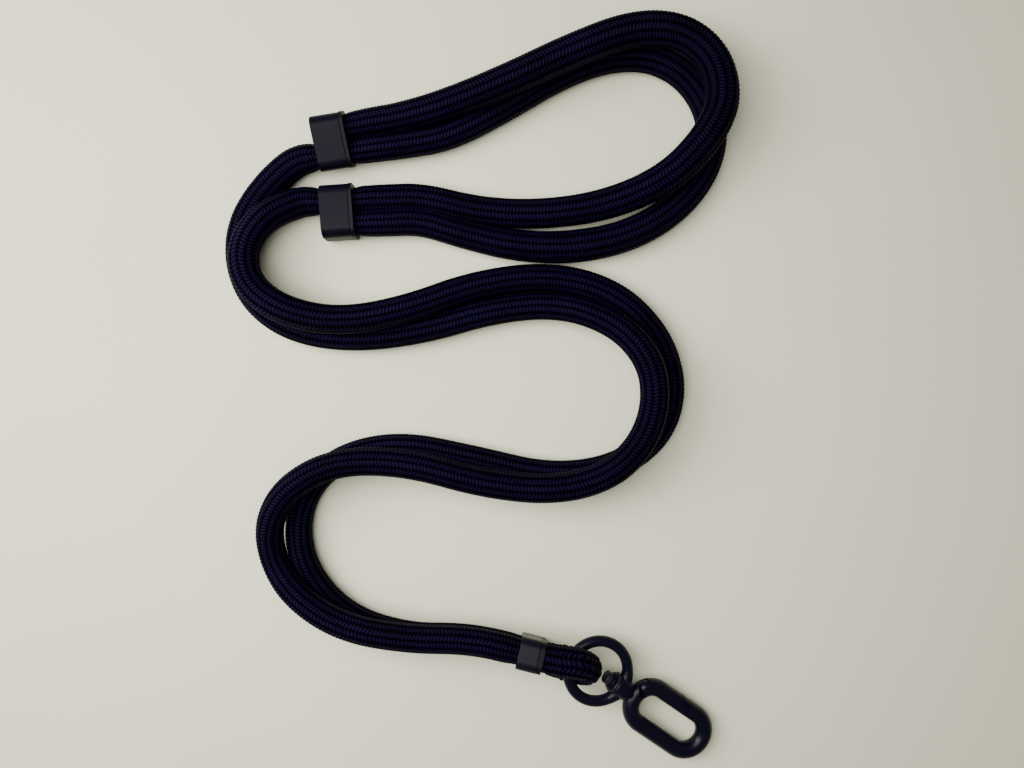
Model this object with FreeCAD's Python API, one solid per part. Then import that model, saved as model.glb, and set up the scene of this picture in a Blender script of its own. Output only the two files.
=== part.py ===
"""Adjustable rope lanyard: one braided rope, two sliders, a crimp ferrule, and a swivel ring with a gate hook.

The lanyard lies flat on a surface at Z = 0. +Z is up, +Y runs from the hook's end towards the
sliders, and the origin is on the surface, under the middle of the box round the metal fittings.
One rope makes the whole loop. Its first end is fixed in the upper slider, it runs round the
overlap, through the lower slider, down to the ferrule, round the ring, back up through the upper
slider, round the overlap again, and its second end is fixed in the lower slider.
"""
import FreeCAD
import Part
import math
import os

# ---- rope ----
ROPE_D = 9.4          # round braid, lying free
SQUEEZED_D = 7.3      # inside a slider's liner
BIGHT_D = 7.8         # pulled round the ring
ARC_SHARE = 0.45      # share of the shorter run that an arc's tangent length takes

# ---- sliders ----
SLIDER_L = 9.2
SLIDER_W = 16.8
SLIDER_T = 11.0
SLIDER_CORNER = 3.3
SLIDER_WALL = 0.7
HOLE_OFFSET = 3.75     # each strand's offset from the slider's middle
LINER_GAP = 0.05
BORE_GAP = 0.06       # running clearance between liner and strand
LIP_L = 1.0           # the liner's lip outside the shell
LIP_PROUD = 0.2       # how far the lip stands out past the shell at each side
LIP_INSET = 0.1       # and how far it stays in from the shell's flat faces
UPPER_SLIDER = {"centre": (-57.7, 93.3, 7.15), "heading": 9.0, "roll": 20.0, "travel": 8.0}
LOWER_SLIDER = {"centre": (-56.0, 71.3, 5.5), "heading": 4.0, "roll": 0.0, "travel": 10.0}
PASS_BEHIND = 5.6     # how far the squeezed strand starts behind the slider's middle
END_BEHIND = 4.0      # where the fixed rope end sits behind the slider's middle
PASS_SPARE = 0.45     # squeezed strand left past the liner's lip at full travel

# ---- ferrule ----
FERRULE_L = 6.2
FERRULE_W = 9.8
FERRULE_H = 19.2
FERRULE_CORNER = 2.8
FERRULE_WALL = 0.7
FERRULE_LIP_L = 1.5      # the liner's lip on the ring's side
FERRULE_CENTRE = (4.6, -66.75, 10.15)
FERRULE_HEADING = -14.0
FERRULE_PITCH = 4.0      # how far the ring's side points up
LEAN = 12.0              # how far the ferrule and the bight lean to one side
STRAND_RISE = 4.8        # each strand's height above or below the ferrule's middle
CRIMPED_D = 7.2          # each strand inside the ferrule
STRAND_SPARE = 0.6       # crimped strand left outside the sleeve on the rope's side
BIGHT_LEAD = 2.4         # straight run of the bight past the liner's lip
BIGHT_LEVEL = 2.0        # straight run of the bight before the ring's wire

# ---- swivel ring ----
RING_R = 9.55
WIRE_R = 1.75
BIGHT_GAP = 0.5
WIRE_POINT = (17.3, -70.4, 10.6)   # middle of the wire where the bight goes round it
BIGHT_HEADING = -16.0
HOOK_HEADING = -36.2
RING_TILT = 9.2       # how far the ring and hook lean down from the bight to the surface
BOSS_R = 3.4
BOSS_IN = 6.9         # distances from the ring's centre along the swivel's axis
BOSS_OUT = 11.5
FLARE_R = 2.1
FLARE_START = 40.0       # where the wire starts to swell towards the boss, in degrees from it
FLARE_END = 16.0
POST_R = 1.5
POST_GAP = 0.06

# ---- rivet, collar and washer ----
HEAD_R = 2.1
HEAD_IN = 2.9
HEAD_L = 2.0
POST_END = 15.1
COLLAR_R = 2.7
COLLAR_L = 1.0
WASHER_R = 3.35
WASHER_L = 0.8
STACK_GAP = 0.05

# ---- hook ----
HOOK_START = 12.1     # distance from the ring's centre to the hook's near end
BAR_R = 2.7
HOOK_R = 6.3          # radius of the bar's middle line at both ends
HOOK_STRAIGHT = 14.6
NECK_R = 2.3
PIN_ANGLE = 140.0     # where the gate's pin crosses the near bend
PIN_R = 0.8
PIN_HEAD_R = 1.4
PIN_HEAD_T = 0.25
PIN_GAP = 0.04
KNUCKLE_R = 2.6
SEAT_R = 2.9
CHEEK_HALF = 2.45     # half the knuckle's thickness
TONGUE_HALF = 1.1
TONGUE_R = 2.3
SLOT_HALF = 1.2
LAP_Y = 7.15          # the gate's lap joint, from the hook's middle
LAP_OUTER_X = 0.0
LAP_STEP_X = 2.4
LAP_INNER_X = 3.3
LAP_GAP = 0.25
LAP_SLANT = 1.6       # how far the outer seam slants back over 4.85 mm, so that the gate swings clear

# ---- gate spring ----
SPRING_R = 1.25
SPRING_WIRE_R = 0.18
SPRING_PITCH = 0.42
SPRING_H = 1.26
SPRING_BASE = -0.75
SPRING_POCKET_R = 1.75
SPRING_POCKET_BASE = -1.0
SPRING_LEG = 0.45

# Route of each free stretch of rope: x, y and the height of its middle line.
OVERLAP_UPPER = [
    (-44.6, 99.1, 8.6), (-35.4, 100.4, 9.0), (-21.1, 103.4, 11.5), (-2.1, 110.3, 13.4),
    (17.9, 119.3, 14.3), (36.4, 126.1, 14.4), (51.9, 125.5, 14.6), (62.7, 117.4, 14.8),
    (66.1, 103.9, 14.8), (59.6, 91.2, 14.8), (47.1, 79.8, 12.6), (29.4, 73.2, 7.4),
    (8.9, 70.8, 4.8), (-11.1, 71.8, 4.8), (-28.9, 76.3, 5.3), (-40.4, 75.9, 5.5),
]
OVERLAP_LOWER = [
    (-43.5, 91.9, 6.0), (-34.7, 93.1, 5.7), (-21.1, 95.7, 4.8), (-4.1, 104.5, 4.8),
    (13.9, 115.3, 4.8), (29.4, 121.2, 4.8), (44.1, 121.5, 4.8), (56.4, 114.5, 4.8),
    (63.7, 101.4, 4.8), (61.8, 85.9, 4.8), (51.7, 72.7, 4.8), (36.9, 63.9, 4.8),
    (18.9, 60.2, 4.8), (0.9, 60.7, 4.8), (-16.1, 64.7, 4.8), (-29.3, 68.8, 5.3),
    (-39.9, 68.3, 5.5),
]
LEG_UPPER = [
    (-62.6, 89.0, 6.0), (-69.7, 87.6, 5.7), (-79.5, 78.9, 4.8), (-86.5, 67.4, 4.8),
    (-87.2, 54.4, 4.8), (-81.6, 42.5, 4.8), (-69.3, 34.3, 4.8), (-50.6, 31.5, 4.8),
    (-28.1, 34.3, 4.8), (-7.1, 40.5, 4.8), (14.7, 42.4, 6.2), (32.2, 35.8, 11.2),
    (42.0, 24.2, 14.4), (43.7, 10.9, 14.8), (39.2, -1.7, 14.8), (29.2, -11.3, 14.8),
    (12.9, -15.8, 14.2), (-9.1, -13.9, 13.2), (-33.1, -7.1, 13.6), (-54.6, -6.7, 14.8),
    (-69.3, -14.4, 14.6), (-76.7, -25.9, 10.4), (-76.5, -38.8, 6.2), (-67.8, -49.2, 11.4),
    (-52.3, -57.7, 14.8), (-32.6, -61.2, 14.7), (-13.6, -61.4, 14.6), (0.9, -64.8, 14.6),
]
LEG_LOWER = [
    (-61.7, 74.9, 5.5), (-68.9, 74.6, 6.1), (-78.6, 68.1, 11.6), (-83.6, 57.4, 14.8),
    (-81.1, 46.7, 14.8), (-70.6, 39.2, 14.7), (-54.1, 35.9, 14.0), (-34.1, 39.7, 11.6),
    (-12.1, 48.5, 6.6), (11.4, 51.6, 4.8), (32.1, 46.2, 4.8), (46.1, 32.2, 4.8),
    (51.0, 15.4, 4.8), (46.2, 0.1, 4.8), (31.9, -10.2, 4.8), (10.9, -12.7, 4.8),
    (-12.1, -7.1, 4.8), (-37.1, -1.9, 4.8), (-57.7, -7.1, 4.8), (-68.8, -21.1, 4.8),
    (-68.2, -40.1, 4.8), (-55.1, -56.5, 4.8), (-35.1, -63.5, 4.8), (-15.1, -63.4, 4.9),
    (1.0, -66.9, 5.2),
]

Z_AXIS = FreeCAD.Vector(0, 0, 1)
X_AXIS = FreeCAD.Vector(1, 0, 0)


def heading(degrees):
    """Unit vector in the surface's plane, at that angle from +X."""
    return FreeCAD.Vector(math.cos(math.radians(degrees)), math.sin(math.radians(degrees)), 0)


def leaning_up(degrees):
    """Up direction of an upright plane with that heading, once it leans to its left."""
    return heading(degrees + 90) * math.sin(math.radians(LEAN)) + Z_AXIS * math.cos(math.radians(LEAN))


def moved(shape, placement):
    """A copy of the shape at the placement."""
    copy = shape.copy()
    copy.Placement = placement.multiply(copy.Placement)
    return copy


def cylinder_x(radius, start, end, y=0.0, z=0.0):
    """Cylinder along X from start to end."""
    return Part.makeCylinder(radius, end - start, FreeCAD.Vector(start, y, z), X_AXIS)


def disc_z(radius, low, high, x=0.0, y=0.0):
    """Cylinder along Z from low to high."""
    return Part.makeCylinder(radius, high - low, FreeCAD.Vector(x, y, low), Z_AXIS)


# ---- rope ----

def rounded_path(points, name):
    """Straight runs joined by tangent arcs, each arc as large as its two runs allow."""
    corners = [FreeCAD.Vector(*p) for p in points]
    edges = []
    radii = []
    last = corners[0]
    for before, corner, after in zip(corners, corners[1:], corners[2:]):
        arriving = (corner - before).normalize()
        leaving = (after - corner).normalize()
        half_turn = arriving.getAngle(leaving) / 2
        tangent = ARC_SHARE * min((corner - before).Length, (after - corner).Length)
        radius = tangent / math.tan(half_turn)
        arc_start = corner - arriving * tangent
        arc_end = corner + leaving * tangent
        inward = (leaving - arriving).normalize()
        arc_middle = corner + inward * (radius / math.cos(half_turn) - radius)
        edges.append(Part.LineSegment(last, arc_start).toShape())
        edges.append(Part.Arc(arc_start, arc_middle, arc_end).toShape())
        radii.append(radius)
        last = arc_end
    edges.append(Part.LineSegment(last, corners[-1]).toShape())
    print(name, "radii", [round(r) for r in radii])
    return Part.Wire(edges)


def tube(path, diameter, name):
    """Round tube along a path, with its volume compared with section times length."""
    start = path.Edges[0].Vertexes[0].Point
    direction = path.Edges[0].tangentAt(path.Edges[0].FirstParameter)
    ring = Part.Wire([Part.Circle(start, direction, diameter / 2).toShape()])
    solid = path.makePipeShell([ring], True, False)
    expected = math.pi * diameter ** 2 / 4 * path.Length
    print(name, "length", round(path.Length, 1), "volume ratio", round(solid.Volume / expected, 4))
    return solid


def free_rope(points, name):
    """One free stretch of the rope."""
    return tube(rounded_path(points, name), ROPE_D, name)


def ferrule_placement():
    """From the ferrule's own frame (X along the rope, Z up) to its place."""
    lean = FreeCAD.Rotation(X_AXIS, -LEAN)
    pitch = FreeCAD.Rotation(FreeCAD.Vector(0, 1, 0), -FERRULE_PITCH)
    turn = FreeCAD.Rotation(Z_AXIS, FERRULE_HEADING) * lean * pitch
    return FreeCAD.Placement(FreeCAD.Vector(*FERRULE_CENTRE), turn)


def strand_point(side, distance):
    """Middle of the ferrule's upper or lower strand at a distance along the ferrule."""
    return ferrule_placement().multVec(FreeCAD.Vector(distance, 0, side * STRAND_RISE))


def crimped_strand(side):
    """Straight strand through the ferrule, upper or lower."""
    strand = cylinder_x(CRIMPED_D / 2, -FERRULE_L / 2 - STRAND_SPARE, bight_start(), 0, side * STRAND_RISE)
    return moved(strand, ferrule_placement())


def bight_start():
    """Distance along the ferrule at which the crimped strands end and the bight starts."""
    return FERRULE_L / 2 + FERRULE_LIP_L + 0.1


def bight():
    """The rope from the ferrule, round the ring's wire and back."""
    bend = WIRE_R + BIGHT_GAP + BIGHT_D / 2
    along = heading(BIGHT_HEADING)
    rise = leaning_up(BIGHT_HEADING)
    wire = FreeCAD.Vector(*WIRE_POINT)
    start = bight_start()
    over = wire + rise * bend
    under = wire - rise * bend
    upper = [strand_point(1, start), strand_point(1, start + BIGHT_LEAD)]
    lower = [strand_point(-1, start + BIGHT_LEAD), strand_point(-1, start)]
    into = rounded_path(upper + [over - along * BIGHT_LEVEL, over + along * 0.01], "bight in")
    out = rounded_path([under + along * 0.01, under - along * BIGHT_LEVEL] + lower, "bight out")
    turn_start = into.Edges[-1].Vertexes[-1].Point
    turn_end = out.Edges[0].Vertexes[0].Point
    fold = Part.Arc(turn_start, wire + along * (bend + 0.01), turn_end).toShape()
    return tube(Part.Wire(into.Edges + [fold] + out.Edges), BIGHT_D, "bight")


# ---- sliders ----

def slider_placement(slider):
    """From the slider's own frame (X along the rope, Y across, Z up) to its place."""
    turn = FreeCAD.Rotation(Z_AXIS, slider["heading"]) * FreeCAD.Rotation(X_AXIS, slider["roll"])
    return FreeCAD.Placement(FreeCAD.Vector(*slider["centre"]), turn)


def rounded_bar(length, width, thickness, corner, start):
    """Bar along X with its four long edges rounded."""
    bar = Part.makeBox(length, width, thickness, FreeCAD.Vector(start, -width / 2, -thickness / 2))
    long_edges = [e for e in bar.Edges if abs(e.tangentAt(e.FirstParameter).x) > 0.9]
    return bar.makeFillet(corner, long_edges)


def slider_shell(slider):
    """Metal sleeve with softened ends."""
    outer = rounded_bar(SLIDER_L, SLIDER_W, SLIDER_T, SLIDER_CORNER, -SLIDER_L / 2)
    rims = [e for e in outer.Edges if abs(abs(e.CenterOfMass.x) - SLIDER_L / 2) < 0.01]
    outer = outer.makeFillet(0.3, rims)
    inner = rounded_bar(
        SLIDER_L + 2,
        SLIDER_W - 2 * SLIDER_WALL,
        SLIDER_T - 2 * SLIDER_WALL,
        SLIDER_CORNER - SLIDER_WALL,
        -SLIDER_L / 2 - 1,
    )
    return moved(outer.cut(inner), slider_placement(slider))


def slider_liner(slider, fixed_side):
    """Plastic liner with a lip at the overlap's end; the fixed rope end's bore is blind."""
    inset = SLIDER_WALL + LINER_GAP
    body = rounded_bar(
        SLIDER_L - 0.4,
        SLIDER_W - 2 * inset,
        SLIDER_T - 2 * inset,
        SLIDER_CORNER - inset,
        -SLIDER_L / 2 + 0.4,
    )
    lip = rounded_bar(
        LIP_L,
        SLIDER_W + 2 * LIP_PROUD,
        SLIDER_T - 2 * LIP_INSET,
        SLIDER_CORNER,
        SLIDER_L / 2,
    )
    bore_r = SQUEEZED_D / 2 + BORE_GAP
    through = cylinder_x(bore_r, -SLIDER_L, SLIDER_L, -fixed_side * HOLE_OFFSET)
    blind = cylinder_x(bore_r, -END_BEHIND - 0.01, SLIDER_L, fixed_side * HOLE_OFFSET)
    slot_h = 3.0
    slot_x = -END_BEHIND - 0.01
    slot = Part.makeBox(SLIDER_L * 2, 1.6, slot_h, FreeCAD.Vector(slot_x, -0.8, -slot_h / 2))
    return moved(body.fuse(lip).removeSplitter().cut(through.fuse(blind).fuse(slot)),
                 slider_placement(slider))


def squeezed_strand(slider, side, start):
    """Straight strand through a slider and on over its travel."""
    end = SLIDER_L / 2 + LIP_L + slider["travel"] + PASS_SPARE
    strand = cylinder_x(SQUEEZED_D / 2, start, end, side * HOLE_OFFSET)
    return moved(strand, slider_placement(slider))


# ---- ferrule ----

def ferrule_shell():
    """Metal sleeve standing on edge, crimped round both strands."""
    outer = rounded_bar(FERRULE_L, FERRULE_W, FERRULE_H, FERRULE_CORNER, -FERRULE_L / 2)
    rims = [e for e in outer.Edges if abs(abs(e.CenterOfMass.x) - FERRULE_L / 2) < 0.01]
    outer = outer.makeFillet(0.25, rims)
    inner = rounded_bar(
        FERRULE_L + 2,
        FERRULE_W - 2 * FERRULE_WALL,
        FERRULE_H - 2 * FERRULE_WALL,
        FERRULE_CORNER - FERRULE_WALL,
        -FERRULE_L / 2 - 1,
    )
    return moved(outer.cut(inner), ferrule_placement())


def ferrule_liner():
    """Plastic liner with a bore for each strand and a lip on the ring's side."""
    inset = FERRULE_WALL + LINER_GAP
    body = rounded_bar(
        FERRULE_L - 0.4,
        FERRULE_W - 2 * inset,
        FERRULE_H - 2 * inset,
        FERRULE_CORNER - inset,
        -FERRULE_L / 2 + 0.4,
    )
    lip = rounded_bar(
        FERRULE_LIP_L,
        FERRULE_W - 2 * LIP_INSET,
        FERRULE_H + 2 * LIP_PROUD,
        FERRULE_CORNER,
        FERRULE_L / 2,
    )
    bore_r = CRIMPED_D / 2 + BORE_GAP
    upper = cylinder_x(bore_r, -FERRULE_L, FERRULE_L, 0, STRAND_RISE)
    lower = cylinder_x(bore_r, -FERRULE_L, FERRULE_L, 0, -STRAND_RISE)
    return moved(body.fuse(lip).removeSplitter().cut(upper.fuse(lower)), ferrule_placement())


# ---- ring and hook, in the ring's own frame: X along the swivel's axis, Z across the ring ----

def ring_placement():
    """From the ring's own frame to its place: turned to its heading, then leant down at the bight."""
    wire = FreeCAD.Vector(*WIRE_POINT)
    centre = wire + heading(BIGHT_HEADING) * RING_R
    flat = FreeCAD.Placement(centre, FreeCAD.Rotation(Z_AXIS, HOOK_HEADING))
    tangent = heading(BIGHT_HEADING + 90)
    lean = FreeCAD.Placement(FreeCAD.Vector(), FreeCAD.Rotation(tangent, RING_TILT), wire)
    return lean.multiply(flat)


def torus_arc(ring_r, wire_r, start, end, centre_x=0.0):
    """Part of a torus about Z, between two angles."""
    centre = FreeCAD.Vector(centre_x, 0, 0)
    whole = Part.makeTorus(ring_r, wire_r, FreeCAD.Vector(), Z_AXIS, -180, 180, end - start)
    whole.rotate(FreeCAD.Vector(), Z_AXIS, start)
    whole.translate(centre)
    return whole


def flare(side):
    """One arm of the ring's wire, swelling towards the boss."""
    def place(angle):
        return heading(side * angle) * RING_R
    def profile(angle, radius):
        tangent = heading(side * angle + 90)
        return Part.Wire([Part.Circle(place(angle), tangent, radius).toShape()])
    middle = (FLARE_START + FLARE_END) / 2
    path = Part.Wire([Part.Arc(place(FLARE_START), place(middle), place(FLARE_END)).toShape()])
    rings = [profile(FLARE_START, WIRE_R - 0.1), profile(FLARE_END, FLARE_R)]
    return path.makePipeShell(rings, True, False)


def swivel_ring():
    """Round ring whose wire swells into a boss that the swivel's rivet turns in."""
    ring = Part.makeTorus(RING_R, WIRE_R)
    boss = cylinder_x(BOSS_R, BOSS_IN, BOSS_OUT)
    rims = [e for e in boss.Edges if len(e.Vertexes) == 1]
    boss = boss.makeFillet(0.4, rims)
    solid = ring.fuse([flare(1), flare(-1), boss]).common(cylinder_x(RING_R * 2, -RING_R * 2, BOSS_OUT))
    return solid.removeSplitter().cut(cylinder_x(POST_R + POST_GAP, 0, BOSS_OUT + 2))


def swivel_rivet():
    """Headed rivet: the head is inside the ring and the shank is pressed into the hook."""
    head = cylinder_x(HEAD_R, HEAD_IN, HEAD_IN + HEAD_L)
    rims = [e for e in head.Edges if len(e.Vertexes) == 1]
    shank = cylinder_x(POST_R, HEAD_IN + HEAD_L / 2, POST_END)
    return head.makeFillet(0.35, rims).fuse(shank)


def rivet_disc(radius, start, length):
    """Washer or collar on the rivet's shank."""
    disc = cylinder_x(radius, start, start + length)
    rims = [e for e in disc.Edges if len(e.Vertexes) == 1]
    return disc.makeFillet(0.2, rims).cut(cylinder_x(POST_R + STACK_GAP, 0, BOSS_OUT))


def hook_middle():
    """X of the hook's middle."""
    return HOOK_START + BAR_R + HOOK_R + HOOK_STRAIGHT / 2


def bends():
    """X of the middle of the near bend and of the far bend."""
    return hook_middle() - HOOK_STRAIGHT / 2, hook_middle() + HOOK_STRAIGHT / 2


def pin_point():
    """Where the gate's pin crosses the near bend."""
    return FreeCAD.Vector(bends()[0], 0, 0) + heading(PIN_ANGLE) * HOOK_R


def lap_block(shift):
    """Everything on the body's side of the gate's lap joint, moved along X by shift."""
    middle = hook_middle() + shift
    tall = 2 * BAR_R
    far = middle + 30
    outline = [
        (middle + LAP_OUTER_X - LAP_SLANT, 12.0), (middle + LAP_OUTER_X, LAP_Y + shift),
        (middle + LAP_STEP_X, LAP_Y + shift), (middle + LAP_INNER_X, HOOK_R - BAR_R),
        (middle + LAP_INNER_X + 0.6, 1.0), (far, 1.0), (far, 12.0),
    ]
    corners = [FreeCAD.Vector(x, y, -tall) for x, y in outline]
    face = Part.Face(Part.makePolygon(corners + corners[:1]))
    return face.extrude(FreeCAD.Vector(0, 0, 2 * tall))


def hook_body():
    """Oval hook from the tip at the gate, round the far and near bends, to the gate's tongue."""
    near, far = bends()
    pin = pin_point()
    lower = cylinder_x(BAR_R, near, far, -HOOK_R)
    nose = cylinder_x(BAR_R, hook_middle() - 1, far, HOOK_R).common(lap_block(LAP_GAP))
    far_bend = torus_arc(HOOK_R, BAR_R, -90, 90, far)
    near_bend = torus_arc(HOOK_R, BAR_R, PIN_ANGLE, 270, near)
    slab = Part.makeBox(60, 40, 2 * TONGUE_HALF, FreeCAD.Vector(0, -20, -TONGUE_HALF))
    tongue = near_bend.common(slab).fuse(disc_z(TONGUE_R, -TONGUE_HALF, TONGUE_HALF, pin.x, pin.y))
    seated = near_bend.cut(disc_z(SEAT_R, -4, 4, pin.x, pin.y)).fuse(tongue)
    neck = cylinder_x(NECK_R, BOSS_OUT + 0.6, HOOK_START + BAR_R)
    body = lower.fuse([far_bend, seated, nose, neck]).removeSplitter()
    body = body.cut(disc_z(PIN_R + PIN_GAP, -4, 4, pin.x, pin.y))
    body = body.cut(disc_z(SPRING_POCKET_R, SPRING_POCKET_BASE, 4, pin.x, pin.y))
    return body.cut(cylinder_x(POST_R, BOSS_OUT, POST_END))


def hook_gate():
    """Gate bar with two cheeks that straddle the hook's tongue."""
    near = bends()[0]
    pin = pin_point()
    bend = torus_arc(HOOK_R, BAR_R, 90, PIN_ANGLE, near)
    bar = cylinder_x(BAR_R, near, hook_middle() + LAP_INNER_X + 1, HOOK_R)
    knuckle = Part.makeSphere(KNUCKLE_R, pin)
    slab = Part.makeBox(60, 40, 2 * CHEEK_HALF, FreeCAD.Vector(0, -20, -CHEEK_HALF))
    gate = bar.fuse([bend, knuckle]).removeSplitter().common(slab).cut(lap_block(0))
    slot = disc_z(SEAT_R, -SLOT_HALF, SLOT_HALF, pin.x, pin.y)
    return gate.cut(slot).cut(disc_z(PIN_R + PIN_GAP, -4, 4, pin.x, pin.y))


def gate_pin():
    """Rivet pin with a low head at each end."""
    pin = pin_point()
    half = CHEEK_HALF + PIN_GAP
    solid = disc_z(PIN_R, -half, half, pin.x, pin.y)
    top = disc_z(PIN_HEAD_R, half, half + PIN_HEAD_T, pin.x, pin.y)
    bottom = disc_z(PIN_HEAD_R, -half - PIN_HEAD_T, -half, pin.x, pin.y)
    return solid.fuse(top).fuse(bottom)


def gate_spring():
    """Small torsion spring round the pin, in the tongue's pocket."""
    coil = Part.makeHelix(SPRING_PITCH, SPRING_H, SPRING_R)
    profile = Part.Wire([Part.Circle(FreeCAD.Vector(SPRING_R, 0, 0), FreeCAD.Vector(0, 1, 0),
                                     SPRING_WIRE_R).toShape()])
    solid = coil.makePipeShell([profile], True, True)
    leg = disc_z(SPRING_WIRE_R, SPRING_H, SPRING_H + SPRING_LEG, SPRING_R, 0)
    solid = solid.fuse(leg)
    solid.translate(pin_point() + FreeCAD.Vector(0, 0, SPRING_BASE))
    return solid


def ring_and_hook():
    """Every piece that is built in the ring's own frame, at its place."""
    collar_start = HEAD_IN + HEAD_L + STACK_GAP
    washer_start = BOSS_IN - STACK_GAP - WASHER_L
    pieces = {
        "swivel_ring": swivel_ring(),
        "swivel_rivet": swivel_rivet(),
        "swivel_collar": rivet_disc(COLLAR_R, collar_start, COLLAR_L),
        "swivel_washer": rivet_disc(WASHER_R, washer_start, WASHER_L),
        "hook_body": hook_body(),
        "hook_gate": hook_gate(),
        "gate_pin": gate_pin(),
        "gate_spring": gate_spring(),
    }
    place = ring_placement()
    return {name: moved(shape, place) for name, shape in pieces.items()}


def lanyard():
    """Every node of the lanyard, by name."""
    nodes = {
        "rope_overlap_upper": free_rope(OVERLAP_UPPER, "rope_overlap_upper"),
        "rope_overlap_lower": free_rope(OVERLAP_LOWER, "rope_overlap_lower"),
        "rope_leg_upper": free_rope(LEG_UPPER, "rope_leg_upper"),
        "rope_leg_lower": free_rope(LEG_LOWER, "rope_leg_lower"),
        "rope_bight": bight(),
        "rope_pass_upper": squeezed_strand(UPPER_SLIDER, -1, -PASS_BEHIND),
        "rope_end_upper": squeezed_strand(UPPER_SLIDER, 1, -END_BEHIND),
        "rope_pass_lower": squeezed_strand(LOWER_SLIDER, 1, -PASS_BEHIND),
        "rope_end_lower": squeezed_strand(LOWER_SLIDER, -1, -END_BEHIND),
        "slider_shell_upper": slider_shell(UPPER_SLIDER),
        "slider_shell_lower": slider_shell(LOWER_SLIDER),
        "slider_liner_upper": slider_liner(UPPER_SLIDER, 1),
        "slider_liner_lower": slider_liner(LOWER_SLIDER, -1),
        "rope_crimp_upper": crimped_strand(1),
        "rope_crimp_lower": crimped_strand(-1),
        "crimp_ferrule": ferrule_shell(),
        "ferrule_liner": ferrule_liner(),
    }
    nodes.update(ring_and_hook())
    return nodes


def main():
    os.makedirs("parts", exist_ok=True)
    for name, shape in lanyard().items():
        box = shape.BoundBox
        print(f"{name:20s} valid {shape.isValid()} solids {len(shape.Solids)} vol {shape.Volume:9.1f}"
              f"  X {box.XMin:7.2f} {box.XMax:7.2f}  Y {box.YMin:7.2f} {box.YMax:7.2f}"
              f"  Z {box.ZMin:6.2f} {box.ZMax:6.2f}")
        shape.exportStep(f"parts/{name}.step")


main()
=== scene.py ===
"""Looks of the rope lanyard: braided navy rope, satin sliders and ferrule, lacquered swivel hook."""
import math
import bpy
import numpy as np
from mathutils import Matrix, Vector


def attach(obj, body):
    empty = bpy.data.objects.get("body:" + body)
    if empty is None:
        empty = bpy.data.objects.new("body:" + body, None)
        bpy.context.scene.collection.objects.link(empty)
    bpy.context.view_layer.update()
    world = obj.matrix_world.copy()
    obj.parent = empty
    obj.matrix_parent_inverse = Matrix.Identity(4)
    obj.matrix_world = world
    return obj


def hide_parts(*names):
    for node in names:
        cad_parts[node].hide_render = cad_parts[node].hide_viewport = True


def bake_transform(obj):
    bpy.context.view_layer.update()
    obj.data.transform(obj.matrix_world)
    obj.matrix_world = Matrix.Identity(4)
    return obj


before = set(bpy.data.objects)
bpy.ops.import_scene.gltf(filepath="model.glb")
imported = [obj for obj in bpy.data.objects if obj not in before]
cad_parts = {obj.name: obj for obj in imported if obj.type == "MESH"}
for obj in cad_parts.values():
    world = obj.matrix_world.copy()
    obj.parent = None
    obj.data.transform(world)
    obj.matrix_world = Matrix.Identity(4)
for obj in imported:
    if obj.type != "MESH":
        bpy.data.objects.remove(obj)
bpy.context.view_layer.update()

MM = 0.001

# ---- camera: straight above, close to the surface, as a hand-held picture of a flat object ----
CAMERA_AT = (-0.6, 16.9, 250.0)
LENS = 27.04


def make_camera():
    data = bpy.data.cameras.new("camera")
    data.lens = LENS
    data.sensor_width = 36
    data.clip_start = 0.01
    camera = bpy.data.objects.new("camera", data)
    camera.location = Vector(CAMERA_AT) * MM
    bpy.context.collection.objects.link(camera)
    bpy.context.scene.camera = camera


make_camera()

# ---- rope: routes in mm, as in the CAD model, then squeezed ends inside the sliders and the ferrule ----
OVERLAP_UPPER = [
    (-44.6, 99.1, 8.6), (-35.4, 100.4, 9.0), (-21.1, 103.4, 11.5), (-2.1, 110.3, 13.4),
    (17.9, 119.3, 14.3), (36.4, 126.1, 14.4), (51.4, 125.3, 14.6), (61.5, 117.0, 14.8),
    (64.8, 103.8, 14.8), (58.9, 91.5, 14.8), (47.1, 79.8, 12.6), (29.4, 73.2, 7.4),
    (8.9, 70.8, 4.8), (-11.1, 71.8, 4.8), (-28.9, 76.3, 5.3), (-40.4, 75.9, 5.5),
]
OVERLAP_LOWER = [
    (-43.5, 91.9, 6.0), (-34.7, 93.1, 5.7), (-21.1, 95.7, 4.8), (-4.1, 104.5, 4.8),
    (13.9, 115.3, 4.8), (29.4, 121.2, 4.8), (44.1, 121.5, 4.8), (56.4, 114.5, 4.8),
    (63.7, 101.4, 4.8), (61.8, 85.9, 4.8), (51.7, 72.7, 4.8), (36.9, 63.9, 4.8),
    (18.9, 60.2, 4.8), (0.9, 60.7, 4.8), (-16.1, 64.7, 4.8), (-29.3, 68.8, 5.3),
    (-39.9, 68.3, 5.5),
]
LEG_UPPER = [
    (-62.6, 89.0, 6.0), (-69.7, 87.6, 5.7), (-79.5, 78.9, 4.8), (-86.5, 67.4, 4.8),
    (-87.2, 54.4, 4.8), (-81.6, 42.5, 4.8), (-69.3, 34.3, 4.8), (-50.6, 31.5, 4.8),
    (-28.1, 34.3, 4.8), (-7.1, 40.5, 4.8), (14.7, 42.4, 6.2), (32.2, 35.8, 11.2),
    (42.0, 24.2, 14.4), (43.7, 10.9, 14.8), (39.2, -1.7, 14.8), (29.2, -11.3, 14.8),
    (12.9, -15.8, 14.2), (-9.1, -13.9, 13.2), (-33.1, -7.1, 13.6), (-54.6, -6.7, 14.8),
    (-69.3, -14.4, 14.6), (-76.7, -25.9, 10.4), (-76.5, -38.8, 6.2), (-67.8, -49.2, 11.4),
    (-52.3, -57.7, 14.8), (-32.6, -61.2, 14.7), (-13.6, -61.4, 14.6), (0.9, -64.8, 14.6),
]
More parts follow.
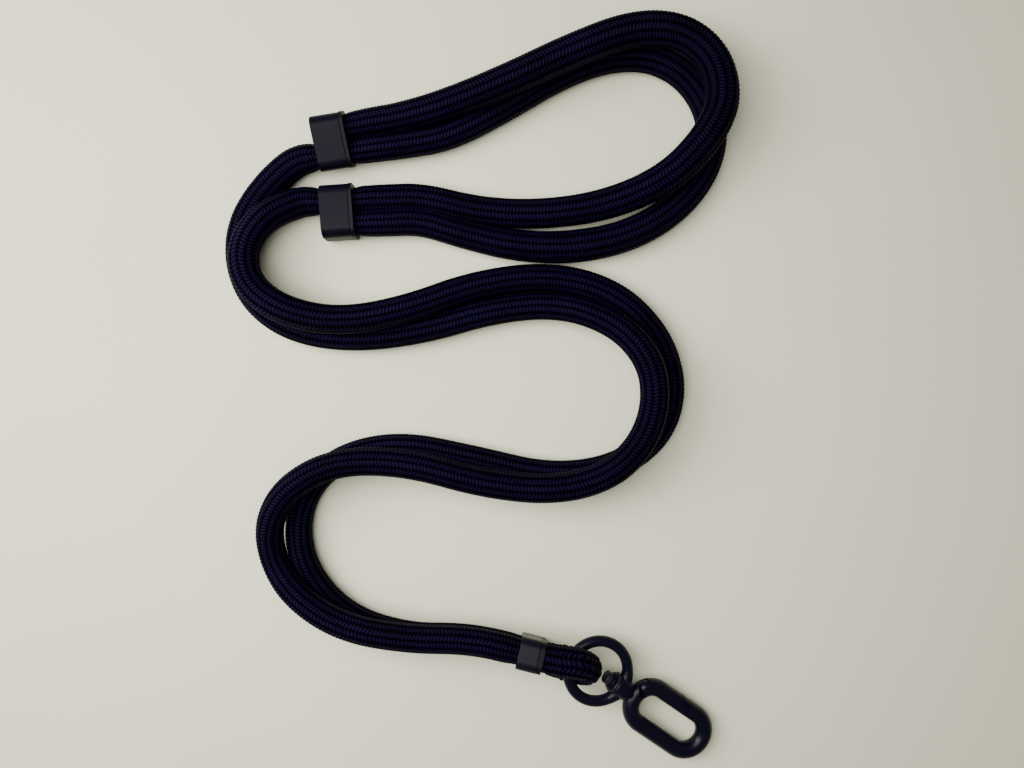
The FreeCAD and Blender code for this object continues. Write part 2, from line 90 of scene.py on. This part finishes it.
LEG_LOWER = [
    (-61.7, 74.9, 5.5), (-68.9, 74.6, 6.1), (-78.6, 68.1, 11.6), (-83.6, 57.4, 14.8),
    (-81.1, 46.7, 14.8), (-70.6, 39.2, 14.7), (-54.1, 35.9, 14.0), (-34.1, 39.7, 11.6),
    (-12.1, 48.5, 6.6), (11.4, 51.6, 4.8), (32.1, 46.2, 4.8), (46.1, 32.2, 4.8),
    (51.0, 15.4, 4.8), (46.2, 0.1, 4.8), (31.9, -10.2, 4.8), (10.9, -12.7, 4.8),
    (-12.1, -7.1, 4.8), (-37.1, -1.9, 4.8), (-57.7, -7.1, 4.8), (-68.8, -21.1, 4.8),
    (-68.2, -40.1, 4.8), (-55.1, -56.5, 4.8), (-35.1, -63.5, 4.8), (-15.1, -63.4, 4.9),
    (1.0, -66.9, 5.2),
]
UPPER_END_IN = [(-61.9, 96.2, 8.4), (-53.0, 97.6, 8.4)]
UPPER_PASS_IN = [(-57.2, 89.8, 5.9), (-50.0, 91.0, 5.9)]
LOWER_PASS_IN = [(-49.5, 75.5, 5.5), (-56.3, 75.0, 5.5)]
LOWER_END_IN = [(-49.5, 68.0, 5.5), (-59.4, 67.3, 5.5)]
FERRULE_UPPER_IN = [(4.5, -65.7, 14.8)]
FERRULE_LOWER_IN = [(4.7, -67.8, 5.5)]
BIGHT = [
    (3.0, -65.4, 14.7), (9.1, -66.7, 15.2), (12.6, -67.0, 16.2), (16.8, -67.3, 17.2),
    (20.4, -67.9, 17.0), (23.3, -70.7, 13.2), (22.5, -73.4, 8.0), (18.8, -74.2, 4.8),
    (13.8, -72.2, 4.8), (9.3, -68.9, 5.6), (3.2, -67.5, 5.4),
]

COLUMNS = 12          # braid columns round the rope
DASH = 1.08           # length of rope that one crossing thread takes, mm
SIDES = 48            # mesh faces round the rope
RING_STEP = 0.26      # mesh ring spacing along the rope, mm
RELIEF = 0.42         # depth of the braid, mm
SLANT = 0.8           # how many dashes a crossing thread shifts by across its column
MEAN_HEIGHT = 0.75    # braid height, 0 to 1, that counts as the rope's surface
SOFTEN = 9            # mesh rings over which a change of radius is smoothed
LUMP_RATE = 2.3       # waves of the uneven surface, radians per mm
LUMP_DRIFT = 0.9      # slower wave that keeps them from repeating, radians per mm
PATH_STEP = 12        # mesh rings between two points of a declared cord path


def rope_line(name, points):
    """Points along the smooth line through a route, in mm."""
    curve = bpy.data.curves.new(name + "_line", "CURVE")
    curve.dimensions = "3D"
    curve.resolution_u = 40
    spline = curve.splines.new("NURBS")
    spline.points.add(len(points) - 1)
    for place, point in zip(spline.points, points):
        place.co = (*[c * MM for c in point], 1)
    spline.order_u = 3
    spline.use_endpoint_u = True
    line = bpy.data.objects.new(name + "_line", curve)
    mesh = bpy.data.meshes.new_from_object(line)
    places = np.array([v.co for v in mesh.vertices]) / MM
    bpy.data.objects.remove(line)
    return places


def along(places, step):
    """Centres evenly spaced along a line, with the distance to each."""
    runs = np.linalg.norm(np.diff(places, axis=0), axis=1)
    keep = np.concatenate([[True], runs > 1e-6])
    places = places[keep]
    distance = np.concatenate([[0], np.cumsum(np.linalg.norm(np.diff(places, axis=0), axis=1))])
    count = int(distance[-1] / step) + 1
    at = np.linspace(0, distance[-1], count)
    centres = np.stack([np.interp(at, distance, places[:, k]) for k in range(3)], axis=1)
    return centres, at


def side_frames(centres):
    """Two directions across the line at each centre, turned as little as possible along it."""
    forward = np.gradient(centres, axis=0)
    forward /= np.linalg.norm(forward, axis=1)[:, None]
    side = np.array([0.0, 0.0, 1.0])
    sides = []
    for direction in forward:
        side = side - direction * side.dot(direction)
        side = side / np.linalg.norm(side)
        sides.append(side)
    sides = np.array(sides)
    return sides, np.cross(forward, sides)


def braid_height(across, length):
    """Height of the braid, 0 to 1: dashes that lean left and right in turn from column to column."""
    column = np.floor(across)
    inside = across - column
    lean = np.where(column % 2 == 0, 1.0, -1.0)
    wave = np.abs(np.cos(math.pi * (length / DASH + lean * (inside - 0.5) * SLANT)))
    crown = np.sqrt(np.clip(1 - (2 * inside - 1) ** 2, 0, 1))
    return crown ** 0.8 * (0.25 + 0.75 * wave ** 0.7)


def braided_tube(name, points, radii, lumps=0.0):
    """Rope mesh along a route, with its centres. radii holds (distance, radius) pairs in mm.

    A distance below 0 is taken back from the far end. Rope too near the surface is lifted to lie on it.
    """
    centres, at = along(rope_line(name, points), RING_STEP)
    knots = np.array(radii, float)
    knots[:, 0] = np.where(knots[:, 0] < 0, at[-1] + knots[:, 0], knots[:, 0])
    radius = np.interp(at, knots[:, 0], knots[:, 1])
    soft = np.ones(SOFTEN) / SOFTEN
    radius = np.convolve(np.pad(radius, SOFTEN // 2, "edge"), soft, "valid")
    radius += lumps * np.sin(at * LUMP_RATE + 2 * np.sin(at * LUMP_DRIFT))
    centres[:, 2] = np.maximum(centres[:, 2], radius + RELIEF * (1 - MEAN_HEIGHT))
    up, left = side_frames(centres)
    turn = np.linspace(0, 2 * math.pi, SIDES + 1)
    across = turn / (2 * math.pi) * COLUMNS
    height = braid_height(across[None, :], at[:, None])
    reach = radius[:, None] + RELIEF * (height - MEAN_HEIGHT)
    places = (centres[:, None, :]
              + up[:, None, :] * (reach * np.cos(turn))[..., None]
              + left[:, None, :] * (reach * np.sin(turn))[..., None])
    rings = len(at)
    mesh = bpy.data.meshes.new(name)
    corner = (np.arange(rings - 1)[:, None] * (SIDES + 1) + np.arange(SIDES)[None, :]).ravel()
    faces = np.stack([corner, corner + SIDES + 1, corner + SIDES + 2, corner + 1], axis=1)
    mesh.vertices.add(rings * (SIDES + 1))
    mesh.vertices.foreach_set("co", (places.reshape(-1, 3) * MM).ravel())
    mesh.loops.add(len(faces) * 4)
    mesh.loops.foreach_set("vertex_index", faces.ravel())
    mesh.polygons.add(len(faces))
    mesh.polygons.foreach_set("loop_start", np.arange(len(faces)) * 4)
    mesh.polygons.foreach_set("loop_total", np.full(len(faces), 4))
    mesh.update(calc_edges=True)
    braid = mesh.uv_layers.new(name="braid")
    grid = np.stack(np.broadcast_arrays(across[None, :], (at / DASH)[:, None]), axis=-1).reshape(-1, 2)
    braid.data.foreach_set("uv", grid[faces.ravel()].ravel())
    mesh.shade_smooth()
    piece = bpy.data.objects.new(name, mesh)
    bpy.context.collection.objects.link(piece)
    return piece, centres


# ---- materials ----
# Painted shade: near-black colour painted into the grooves between the braid's threads.
ROPE_GROOVE_SHADE = (0.0005, 0.00025, 0.0026)
ROPE_THREAD = (0.0047, 0.0023, 0.0200)
ROPE_GLOSS = 0.10


def new_material(name):
    material = bpy.data.materials.new(name)
    material.use_nodes = True
    tree = material.node_tree
    return material, tree, tree.nodes["Principled BSDF"]


def node(tree, kind, **inputs):
    """New shader node with some of its inputs set."""
    made = tree.nodes.new(kind)
    for key, value in inputs.items():
        made.inputs[key.replace("_", " ")].default_value = value
    return made


def math_node(tree, operation, first, second=None):
    """Math node fed by sockets or numbers; returns its output."""
    made = tree.nodes.new("ShaderNodeMath")
    made.operation = operation
    for place, value in enumerate((first, second)):
        if value is None:
            continue
        if isinstance(value, (int, float)):
            made.inputs[place].default_value = value
        else:
            tree.links.new(value, made.inputs[place])
    return made.outputs[0]


def rope_material():
    """Braid of thin shiny threads: navy crossing threads, painted shade (near-black) in the grooves between
    them, fine filaments in each.
    """
    material, tree, shader = new_material("rope_braid")
    link = tree.links.new
    uv = tree.nodes.new("ShaderNodeUVMap")
    uv.uv_map = "braid"
    split = tree.nodes.new("ShaderNodeSeparateXYZ")
    link(uv.outputs[0], split.inputs[0])
    across, length = split.outputs[0], split.outputs[1]
    inside = math_node(tree, "FRACT", across)
    parity = math_node(tree, "MODULO", math_node(tree, "FLOOR", across), 2.0)
    lean = math_node(tree, "SUBTRACT", 1.0, math_node(tree, "MULTIPLY", parity, 2.0))
    offset = math_node(tree, "MULTIPLY", math_node(tree, "SUBTRACT", inside, 0.5), SLANT)
    phase = math_node(tree, "ADD", length, math_node(tree, "MULTIPLY", lean, offset))
    wave = math_node(tree, "COSINE", math_node(tree, "MULTIPLY", phase, math.pi))
    ridge = math_node(tree, "ABSOLUTE", wave)
    from_middle = math_node(tree, "SUBTRACT", math_node(tree, "MULTIPLY", inside, 2.0), 1.0)
    centre = math_node(tree, "ABSOLUTE", from_middle)
    crown = math_node(tree, "SUBTRACT", 1.0, math_node(tree, "POWER", centre, 2.5))
    thread = math_node(tree, "MULTIPLY", math_node(tree, "POWER", ridge, 0.8), crown)
    filaments = math_node(tree, "SINE", math_node(tree, "MULTIPLY", phase, 2 * math.pi * 6))
    patches = node(tree, "ShaderNodeTexNoise", Scale=70.0, Detail=3.0)
    place = tree.nodes.new("ShaderNodeTexCoord")
    link(place.outputs["Object"], patches.inputs["Vector"])
    # Painted shade: low points of the braid get the near-black groove colour, thread crests the navy thread
    # colour.
    ramp = tree.nodes.new("ShaderNodeValToRGB")
    ramp.color_ramp.elements[0].color = (*ROPE_GROOVE_SHADE, 1)
    ramp.color_ramp.elements[0].position = 0.35
    ramp.color_ramp.elements[1].color = (*ROPE_THREAD, 1)
    link(thread, ramp.inputs[0])
    shade = node(tree, "ShaderNodeMapRange")
    shade.inputs["From Min"].default_value = 0.3
    shade.inputs["From Max"].default_value = 0.7
    shade.inputs["To Min"].default_value = 0.6
    shade.inputs["To Max"].default_value = 1.15
    link(patches.outputs[0], shade.inputs["Value"])
    tint = tree.nodes.new("ShaderNodeVectorMath")
    tint.operation = "SCALE"
    link(ramp.outputs[0], tint.inputs[0])
    link(shade.outputs[0], tint.inputs["Scale"])
    link(tint.outputs[0], shader.inputs["Base Color"])
    height = math_node(tree, "ADD", thread, math_node(tree, "MULTIPLY", filaments, 0.07))
    bump = node(tree, "ShaderNodeBump", Strength=1.0, Distance=0.0003)
    link(height, bump.inputs["Height"])
    link(bump.outputs[0], shader.inputs["Normal"])
    gloss = math_node(tree, "MULTIPLY", thread, ROPE_GLOSS)
    link(gloss, shader.inputs["Specular IOR Level"])
    shader.inputs["Roughness"].default_value = 0.62
    shader.inputs["Specular Tint"].default_value = (0.60, 0.48, 1.0, 1)
    return material


def coated_metal(name, colour, roughness, coat, grain=0.00002, scale=900.0, spec=0.5):
    """Painted or lacquered metal with faint orange peel, uneven gloss and slightly rubbed colour."""
    material, tree, shader = new_material(name)
    link = tree.links.new
    place = tree.nodes.new("ShaderNodeTexCoord")
    cloud = node(tree, "ShaderNodeTexNoise", Scale=160.0, Detail=4.0, Roughness=0.6)
    link(place.outputs["Object"], cloud.inputs["Vector"])
    ramp = tree.nodes.new("ShaderNodeValToRGB")
    ramp.color_ramp.elements[0].position = 0.3
    ramp.color_ramp.elements[1].position = 0.75
    ramp.color_ramp.elements[0].color = (*[c * 0.82 for c in colour], 1)
    ramp.color_ramp.elements[1].color = (*[c * 1.15 for c in colour], 1)
    link(cloud.outputs[0], ramp.inputs[0])
    link(ramp.outputs[0], shader.inputs["Base Color"])
    rough = node(tree, "ShaderNodeMapRange")
    rough.inputs["To Min"].default_value = roughness * 0.85
    rough.inputs["To Max"].default_value = roughness * 1.2
    link(cloud.outputs[0], rough.inputs["Value"])
    link(rough.outputs[0], shader.inputs["Roughness"])
    peel = node(tree, "ShaderNodeTexNoise", Scale=scale, Detail=2.0)
    link(place.outputs["Object"], peel.inputs["Vector"])
    bump = node(tree, "ShaderNodeBump", Strength=0.35, Distance=grain)
    link(peel.outputs[0], bump.inputs["Height"])
    link(bump.outputs[0], shader.inputs["Normal"])
    shader.inputs["Specular IOR Level"].default_value = spec
    shader.inputs["Coat Weight"].default_value = coat
    shader.inputs["Coat Roughness"].default_value = 0.12
    return material


def give(name, material):
    """Puts a material on a CAD node."""
    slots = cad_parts[name].data.materials
    slots.clear()
    slots.append(material)


ROPE = rope_material()
SATIN = coated_metal("satin_coating", (0.0026, 0.0018, 0.0068), 0.40, 0.0, spec=0.07)
FERRULE = coated_metal("ferrule_coating", (0.0040, 0.0032, 0.0090), 0.36, 0.0, spec=0.10)
LACQUER = coated_metal("hook_lacquer", (0.0020, 0.0013, 0.0080), 0.30, 0.0, spec=0.16)
LINER = coated_metal("liner_plastic", (0.0012, 0.001, 0.004), 0.5, 0.0, grain=0.00003, scale=1500.0,
                     spec=0.12)
STEEL = coated_metal("rivet_steel", (0.03, 0.03, 0.04), 0.25, 0.0, spec=0.5)
STEEL.node_tree.nodes["Principled BSDF"].inputs["Metallic"].default_value = 0.7
WIRE = coated_metal("spring_wire", (0.35, 0.35, 0.37), 0.3, 0.0)
WIRE.node_tree.nodes["Principled BSDF"].inputs["Metallic"].default_value = 1.0

for part in ("slider_shell_upper", "slider_shell_lower"):
    give(part, SATIN)
for part in ("slider_liner_upper", "slider_liner_lower", "ferrule_liner"):
    give(part, LINER)
give("crimp_ferrule", FERRULE)
for part in ("swivel_ring", "hook_body", "hook_gate", "gate_pin", "swivel_collar"):
    give(part, LACQUER)
for part in ("swivel_rivet", "swivel_washer"):
    give(part, STEEL)
give("gate_spring", WIRE)

# ---- rope pieces: (name, route, radii, usual diameter in metres, CAD nodes it stands for) ----
STRANDS = [
    ("strand_overlap_upper", UPPER_END_IN + OVERLAP_UPPER + LOWER_PASS_IN,
     [(0, 3.55), (9, 3.6), (11.5, 4.2), (16, 4.4), (40, 4.7), (110, 5.15), (170, 5.1), (235, 4.6),
      (-13, 4.35), (-8, 4.2), (-5.8, 3.6), (-0.01, 3.55)],
     0.0094, ["rope_overlap_upper", "rope_end_upper"]),
    ("strand_overlap_lower", UPPER_PASS_IN + OVERLAP_LOWER + LOWER_END_IN,
     [(0, 3.55), (5.4, 3.6), (8, 4.2), (13, 4.4), (40, 4.6), (150, 4.8), (200, 5.2), (235, 4.7), (-16, 4.4),
      (-11.5, 4.2), (-9.3, 3.6), (-0.01, 3.55)],
     0.0093, ["rope_overlap_lower", "rope_end_lower"]),
    ("strand_leg_upper", UPPER_PASS_IN[:1] + LEG_UPPER + FERRULE_UPPER_IN,
     [(0, 3.55), (4.4, 3.6), (7, 4.4), (13, 4.8), (80, 4.8), (150, 4.4), (260, 4.5), (330, 4.25), (400, 4.2),
      (-7, 4.2), (-4, 3.9), (-0.01, 3.8)],
     0.0087, ["rope_leg_upper", "rope_pass_upper", "rope_crimp_upper"]),
    ("strand_leg_lower", LOWER_PASS_IN[1:] + LEG_LOWER + FERRULE_LOWER_IN,
     [(0, 3.55), (4.4, 3.6), (7, 4.5), (13, 4.8), (80, 4.5), (150, 4.5), (260, 4.4), (330, 4.2), (-7, 4.2),
      (-4, 3.9), (-0.01, 3.8)],
     0.0086, ["rope_leg_lower", "rope_pass_lower", "rope_crimp_lower"]),
]


def dress(piece, replaced, centres):
    """Gives a rope piece its material and hides the CAD nodes it stands for."""
    piece.data.materials.append(ROPE)
    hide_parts(*replaced)
    path = [tuple(c * MM for c in p) for p in centres[::PATH_STEP]]
    path.append(tuple(c * MM for c in centres[-1]))


built = {}
for name, route, radii, diameter, replaced in STRANDS:
    piece, centres = braided_tube(name, route, radii)
    dress(piece, replaced, centres)
    built[name] = piece

bight, centres = braided_tube(
    "strand_bight", BIGHT,
    [(0, 3.8), (5.5, 3.9), (8, 4.7), (13, 4.75), (24, 4.35), (31, 4.2), (38, 4.35), (-12, 4.6),
     (-8, 4.5), (-5.5, 3.9), (-0.01, 3.8)],
    lumps=0.12)
dress(bight, ["rope_bight"], centres)
built["strand_bight"] = bight

for name in ("strand_leg_upper", "strand_leg_lower", "strand_bight"):
    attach(built[name], "rope")
for name, start, end in (
    ("strand_overlap_upper", (-50.1, 97.2, 8.4), (-43.6, 86.0, 8.4)),
    ("strand_overlap_lower", (-47.1, 66.9, 5.5), (-40.6, 78.1, 5.5)),
):
    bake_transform(built[name])

# ---- floor and light ----
FLOOR_HALF = 8.0      # metres


def make_floor():
    mesh = bpy.data.meshes.new("floor")
    corners = [(x * FLOOR_HALF, y * FLOOR_HALF, 0) for x, y in ((-1, -1), (1, -1), (1, 1), (-1, 1))]
    mesh.from_pydata(corners, [], [(0, 1, 2, 3)])
    floor = bpy.data.objects.new("floor", mesh)
    bpy.context.collection.objects.link(floor)
    material, tree, shader = new_material("pale_board")
    place = tree.nodes.new("ShaderNodeTexCoord")
    fibre = node(tree, "ShaderNodeTexNoise", Scale=18.0, Detail=6.0, Roughness=0.55)
    tree.links.new(place.outputs["Object"], fibre.inputs["Vector"])
    ramp = tree.nodes.new("ShaderNodeValToRGB")
    ramp.color_ramp.elements[0].color = (0.705, 0.70, 0.53, 1)
    ramp.color_ramp.elements[1].color = (0.745, 0.74, 0.57, 1)
    tree.links.new(fibre.outputs[0], ramp.inputs[0])
    tree.links.new(ramp.outputs[0], shader.inputs["Base Color"])
    shader.inputs["Roughness"].default_value = 0.75
    shader.inputs["Specular IOR Level"].default_value = 0.2
    mesh.materials.append(material)


def make_light(name, at, size, watts, colour):
    data = bpy.data.lights.new(name, "AREA")
    data.size = size
    data.energy = watts
    data.color = colour
    lamp = bpy.data.objects.new(name, data)
    lamp.location = at
    lamp.rotation_euler = (Vector((0, 0, 0)) - Vector(at)).to_track_quat("-Z", "Y").to_euler()
    lamp.visible_camera = False
    bpy.context.collection.objects.link(lamp)


make_floor()
make_light("window", (-0.36, 0.10, 0.30), 0.26, 2.75, (1.0, 0.99, 0.94))
make_light("overhead", (-0.09, 0.03, 0.30), 0.24, 1.36, (1.0, 0.99, 0.93))
world = bpy.data.worlds.new("room")
world.use_nodes = True
world.node_tree.nodes["Background"].inputs[0].default_value = (0.97, 0.97, 0.98, 1)
world.node_tree.nodes["Background"].inputs[1].default_value = 0.27
bpy.context.scene.world = world
